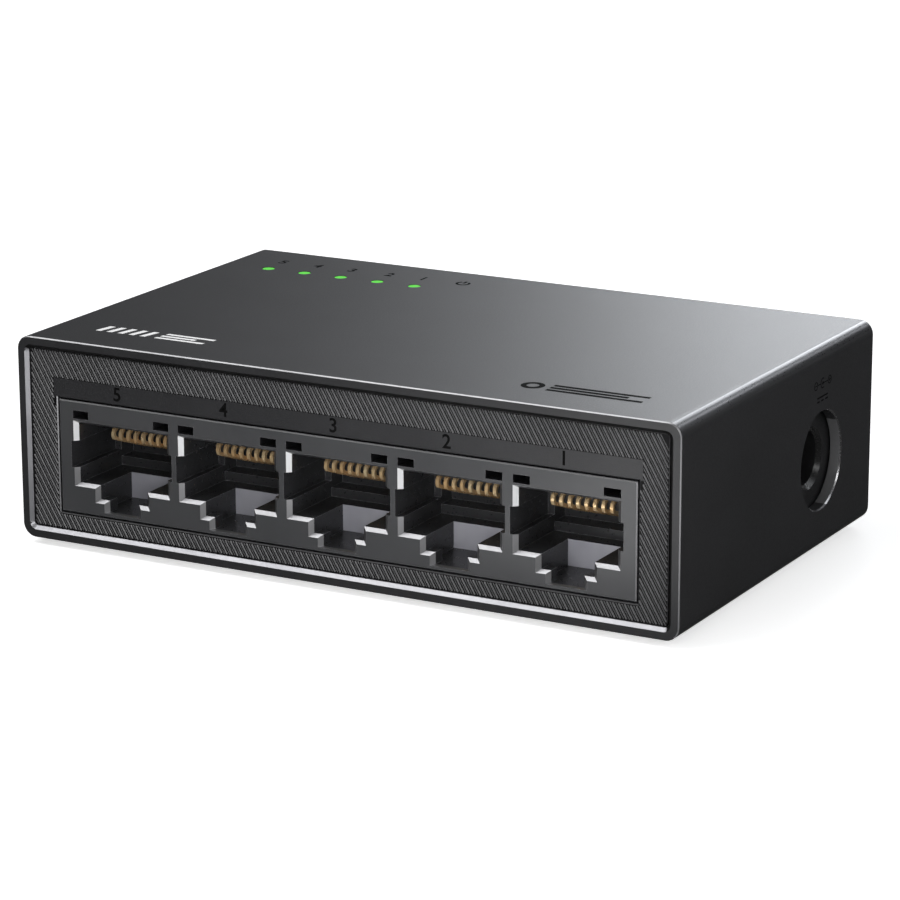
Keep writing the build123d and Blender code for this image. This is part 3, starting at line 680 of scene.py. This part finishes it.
polarity_sign = [
    arc((-1.95, 0), 0.5, 0.4, 0, 180),
    arc((-1.95, 0), 0.5, 0.4, 180, 360),
    bar(-2.2, -0.05, -1.7, 0.05),
    bar(-1.43, -0.05, -0.62, 0.05),
    arc((0, 0), 0.62, 0.5, 60, 180),
    arc((0, 0), 0.62, 0.5, 180, 300),
    arc((0, 0), 0.2, 0.0, 0, 360, 16)[:16],
    bar(0.22, -0.05, 1.43, 0.05),
    arc((1.95, 0), 0.5, 0.4, 0, 180),
    arc((1.95, 0), 0.5, 0.4, 180, 360),
    bar(1.7, -0.05, 2.2, 0.05),
    bar(1.9, 0.06, 2.0, 0.25),
    bar(1.9, -0.25, 2.0, -0.06),
]
stamp("polarity_sign", polarity_sign, on_right(37.6, 19.9), BACK, UP, ink_black)
current_sign = [bar(-1.5, 0.16, 1.5, 0.34)]
current_sign += [bar(-1.5 + 1.15 * k, -0.3, -0.8 + 1.15 * k, -0.12) for k in range(3)]
stamp("current_sign", current_sign, on_right(37.6, 18.1), BACK, UP, ink_black)


# ---------------------------------------------------------------- studio


def look_from(location, target, roll=0.0):
    """A rotation that looks from one point to another, turned about its own view by the roll."""
    turn = (Vector(target) - Vector(location)).to_track_quat("-Z", "Y")
    return (turn.to_matrix().to_4x4() @ Matrix.Rotation(roll, 4, "Z")).to_quaternion()


def build_camera():
    bearing, rise = math.radians(VIEW_BEARING), math.radians(VIEW_HEIGHT)
    back = Vector((math.sin(bearing) * math.cos(rise), -math.cos(bearing) * math.cos(rise), math.sin(rise)))
    data = bpy.data.cameras.new("camera")
    data.lens = LENS
    data.sensor_width = 36.0
    data.clip_start = 0.01
    data.clip_end = 20.0
    camera = bpy.data.objects.new("camera", data)
    camera.location = VIEW_TARGET + back * VIEW_DISTANCE
    camera.rotation_mode = "QUATERNION"
    camera.rotation_quaternion = look_from(camera.location, VIEW_TARGET, math.radians(VIEW_ROLL))
    bpy.context.scene.collection.objects.link(camera)
    bpy.context.scene.camera = camera


build_camera()


def soft_light(name, location, target, size, power, colour=(1.0, 1.0, 1.0)):
    data = bpy.data.lights.new(name, "AREA")
    data.shape = "RECTANGLE"
    data.size, data.size_y = size
    data.energy = power
    data.color = colour
    light = bpy.data.objects.new(name, data)
    light.location = location
    light.rotation_mode = "QUATERNION"
    light.rotation_quaternion = look_from(location, target)
    light.visible_camera = False
    bpy.context.scene.collection.objects.link(light)
    return light


WHITE = (1.0, 1.0, 1.0)
COOL = (0.93, 0.96, 1.0)
# Name, place, size, power and colour of each lamp that looks at the middle of the object
LAMPS = [
    ("back_box", (-0.12, 0.65, 0.25), (0.3, 0.3), 2.23, COOL),
    ("right_back_box", (0.24, 0.2, 0.16), (0.16, 0.12), 0.10, COOL),
    ("corner_box", (0.23, 0.60, 0.36), (0.1, 0.1), 0.26, COOL),
    ("front_box", (0.25, -0.8, 0.4), (0.5, 0.4), 0.374, WHITE),
    ("overhead_left_box", (-0.36, -0.25, 0.7), (0.5, 0.5), 2.99, WHITE),
    ("low_front_box", (0.04, -0.13, 0.04), (0.08, 0.04), 0.065, WHITE),
    ("ridge_box", (0.67, -0.22, 0.40), (0.22, 0.22), 1.0, WHITE),
]
# The same for cards that lie on the floor in front of the object and shine upwards
CARDS = [
    ("middle_card", (0.03, -0.075, 0.001), (0.05, 0.06), 0.0217),
    ("right_card", (0.085, -0.06, 0.001), (0.05, 0.07), 0.0105),
]
for lamp_name, lamp_place, lamp_size, lamp_power, lamp_colour in LAMPS:
    soft_light(lamp_name, lamp_place, (0.0, 0.0, 0.012), lamp_size, lamp_power, lamp_colour)
for card_name, card_place, card_size, card_power in CARDS:
    soft_light(card_name, card_place, (card_place[0], card_place[1] + 0.0001, 1.0), card_size, card_power)


def build_floor():
    """A white floor, evenly lit where the camera sees it, that takes a soft shadow."""
    bpy.ops.mesh.primitive_plane_add(size=6.0, location=(0, 0, 0))
    floor = bpy.context.object
    floor.name = "studio_floor"
    material, tree, shader = new_material("studio_white")
    shader.inputs["Base Color"].default_value = (0.92, 0.92, 0.92, 1.0)
    shader.inputs["Roughness"].default_value = 0.9
    shader.inputs["Specular IOR Level"].default_value = 0.0
    shader.inputs["Emission Color"].default_value = (1.0, 1.0, 1.0, 1.0)
    seen = node(tree, "ShaderNodeLightPath")
    glow = node(tree, "ShaderNodeMath", operation="MULTIPLY")
    glow.inputs[1].default_value = FLOOR_GLOW
    tree.links.new(seen.outputs["Is Camera Ray"], glow.inputs[0])
    tree.links.new(glow.outputs[0], shader.inputs["Emission Strength"])
    floor.data.materials.append(material)
    floor.visible_glossy = False
    return floor


build_floor()


def build_world():
    """White behind the object, and dim all round as far as light on the object goes."""
    world = bpy.data.worlds.new("studio")
    world.use_nodes = True
    tree = world.node_tree
    background = tree.nodes["Background"]
    seen = node(tree, "ShaderNodeLightPath")
    made = node(tree, "ShaderNodeMapRange", From_Min=0.0, From_Max=1.0, To_Min=WORLD_DIM, To_Max=1.0)
    tree.links.new(seen.outputs["Is Camera Ray"], made.inputs["Value"])
    background.inputs["Color"].default_value = (1.0, 1.0, 1.0, 1.0)
    tree.links.new(made.outputs["Result"], background.inputs["Strength"])
    bpy.context.scene.world = world


build_world()
bpy.context.scene.view_settings.view_transform = "Standard"
